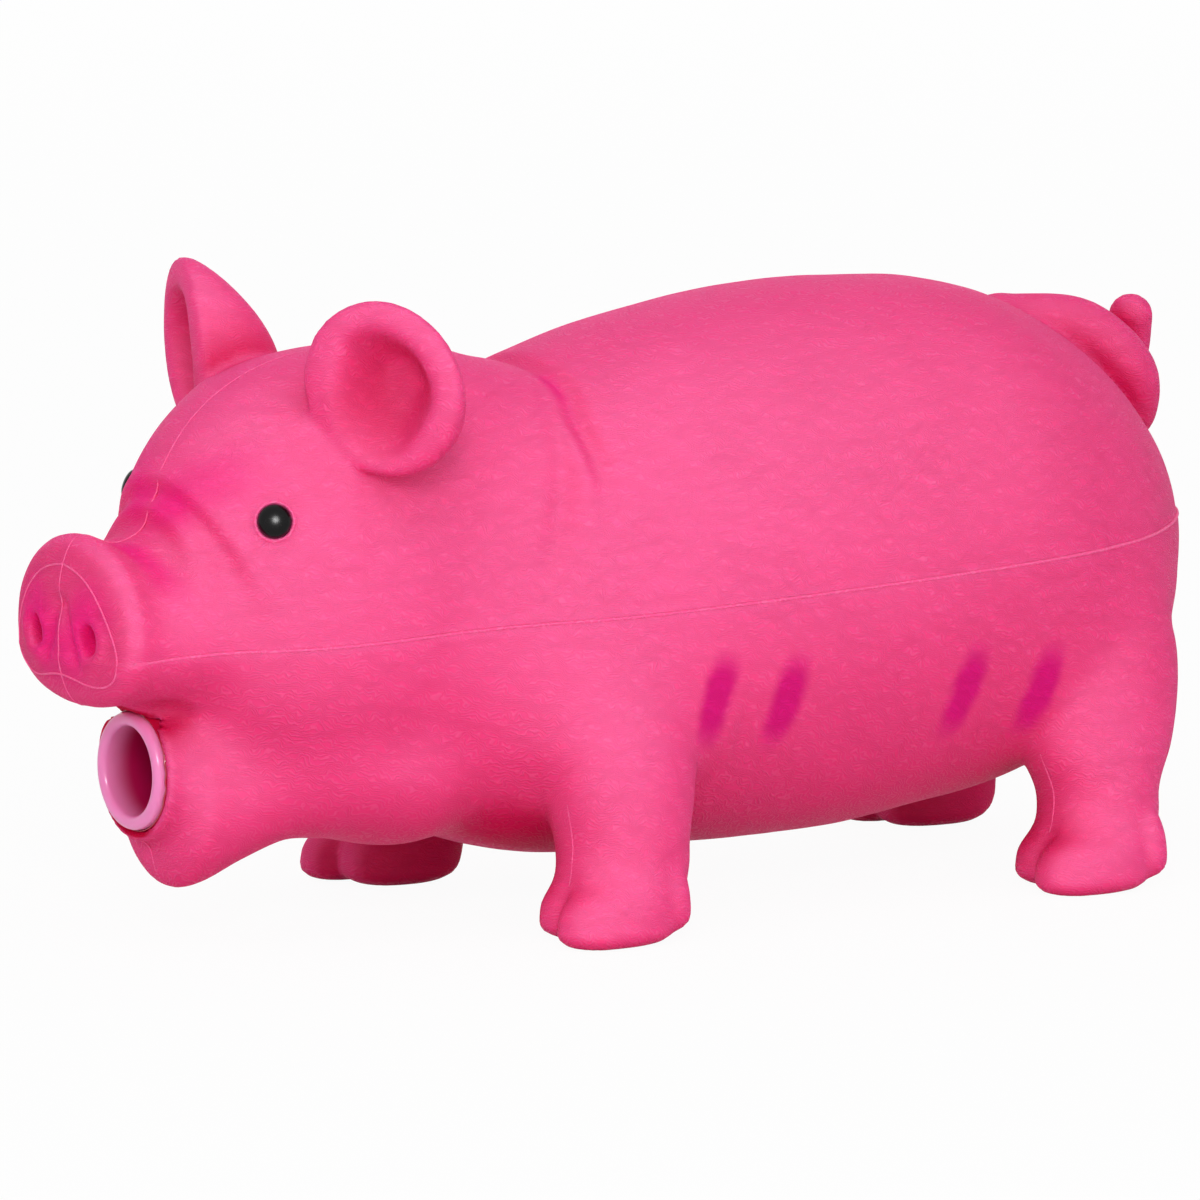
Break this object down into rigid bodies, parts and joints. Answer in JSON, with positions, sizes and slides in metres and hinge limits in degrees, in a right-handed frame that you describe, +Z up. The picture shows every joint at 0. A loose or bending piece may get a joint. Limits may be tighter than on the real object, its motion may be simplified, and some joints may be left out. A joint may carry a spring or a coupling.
{
  "type": "grunting pig dog toy",
  "caption": "Stuffed latex pig dog toy standing on short legs, with cupped ears, a curled tail and a plastic grunter tube in the mouth whose reed sounds when the body is squeezed.",
  "frame": {"origin": "on the floor under the middle of the pig's length and width", "axes": "the pig faces -X, its left side is -Y, +Z is up"},
  "size_m": [0.2204, 0.0922, 0.1087],
  "materials": {
    "latex": "satin",
    "eye": "gloss",
    "wadding": "matte",
    "tube": "satin",
    "glue": "gloss",
    "holder": "satin",
    "reed": "satin"
  },
  "bodies": {
    "pig": {"torso_skin": "latex", "head_skin": "latex", "snout": "latex", "jaw": "latex", "ear_left": "latex", "ear_right": "latex", "leg_front_left": "latex", "leg_front_right": "latex", "leg_hind_left": "latex", "leg_hind_right": "latex", "tail": "latex", "eye_left": "eye", "eye_right": "eye", "stuffing": "wadding", "grunter_tube": "tube", "glue_sleeve": "glue", "reed_holder": "holder", "reed_wedge": "holder", "stuffing_guard": "holder"},
    "reed": {"reed": "reed"}
  },
  "joints": [
    {"name": "reed_flutter", "type": "hinge", "parent": "pig", "child": "reed", "pos_m": [-0.07742, 0, 0.03025], "axis": [0, 1, 0], "range_deg": [-3.4, 3.4], "stiffness_Nm_per_rad": 0.001}
  ]
}
